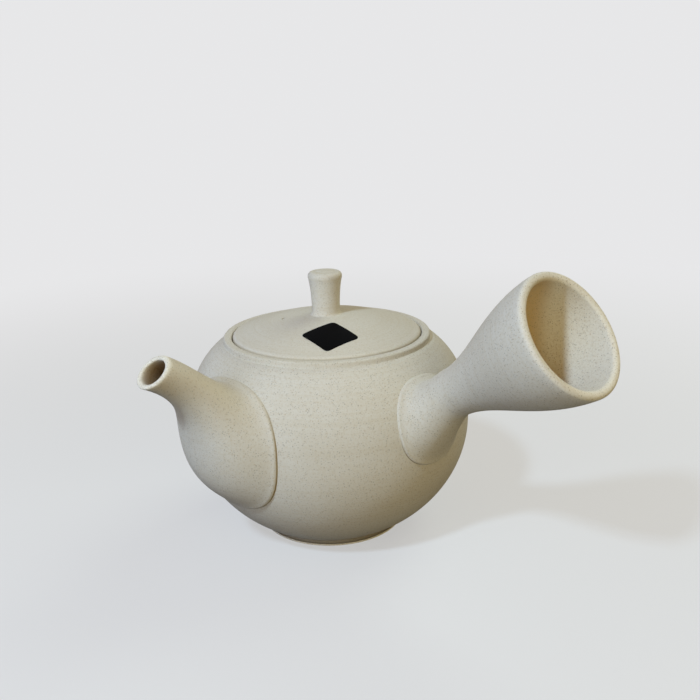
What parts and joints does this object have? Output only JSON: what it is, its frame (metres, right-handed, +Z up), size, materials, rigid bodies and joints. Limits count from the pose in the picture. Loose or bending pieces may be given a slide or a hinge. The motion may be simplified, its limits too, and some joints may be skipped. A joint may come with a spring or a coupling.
{
  "type": "side-handled teapot",
  "caption": "Round side-handled stoneware teapot with a short spout, a hollow bell-shaped handle, an inner strainer and a domed lift-off lid.",
  "frame": {"origin": "on the pot's axis, at the underside of its foot", "axes": "+Z up along the pot's axis, +X towards the side handle, -Y towards the spout"},
  "size_m": [0.1753, 0.139, 0.1142],
  "materials": {
    "stoneware": "matt, unglazed, finely speckled",
    "label": "satin"
  },
  "bodies": {
    "pot": {"pot_body": "stoneware", "spout": "stoneware", "side_handle": "stoneware", "strainer": "stoneware"},
    "lid": {"lid": "stoneware", "lid_knob": "stoneware", "label": "label"}
  },
  "joints": [
    {"name": "lid_lift", "type": "slide", "parent": "pot", "child": "lid", "axis": [0, 0, 1], "range_m": [0, 0.05]}
  ]
}
